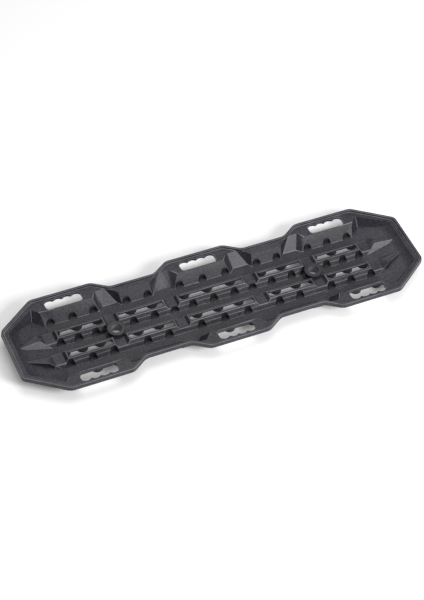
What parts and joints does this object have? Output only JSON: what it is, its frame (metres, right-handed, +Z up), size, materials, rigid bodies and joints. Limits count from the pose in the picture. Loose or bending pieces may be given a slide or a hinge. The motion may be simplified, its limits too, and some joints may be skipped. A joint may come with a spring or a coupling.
{
  "type": "vehicle traction board",
  "caption": "Rigid moulded board with a trough-shaped top, slotted ridges and hand grips, laid under a wheel that is stuck in snow, mud or sand.",
  "frame": {"origin": "on the ground under the middle of the board's outline", "axes": "+X along the board, +Y across it, +Z up out of the side that the tyre rolls on"},
  "size_m": [1.1, 0.299, 0.044],
  "materials": {
    "board": "injection-moulded charcoal nylon with a fine sparked texture",
    "bushing": "turned-smooth moulded charcoal nylon, a little glossier than the board"
  },
  "bodies": {
    "root": {"board": "board", "mount_bushing_left": "bushing", "mount_bushing_right": "bushing", "ring_nut_left": "bushing", "ring_nut_right": "bushing"}
  },
  "joints": []
}
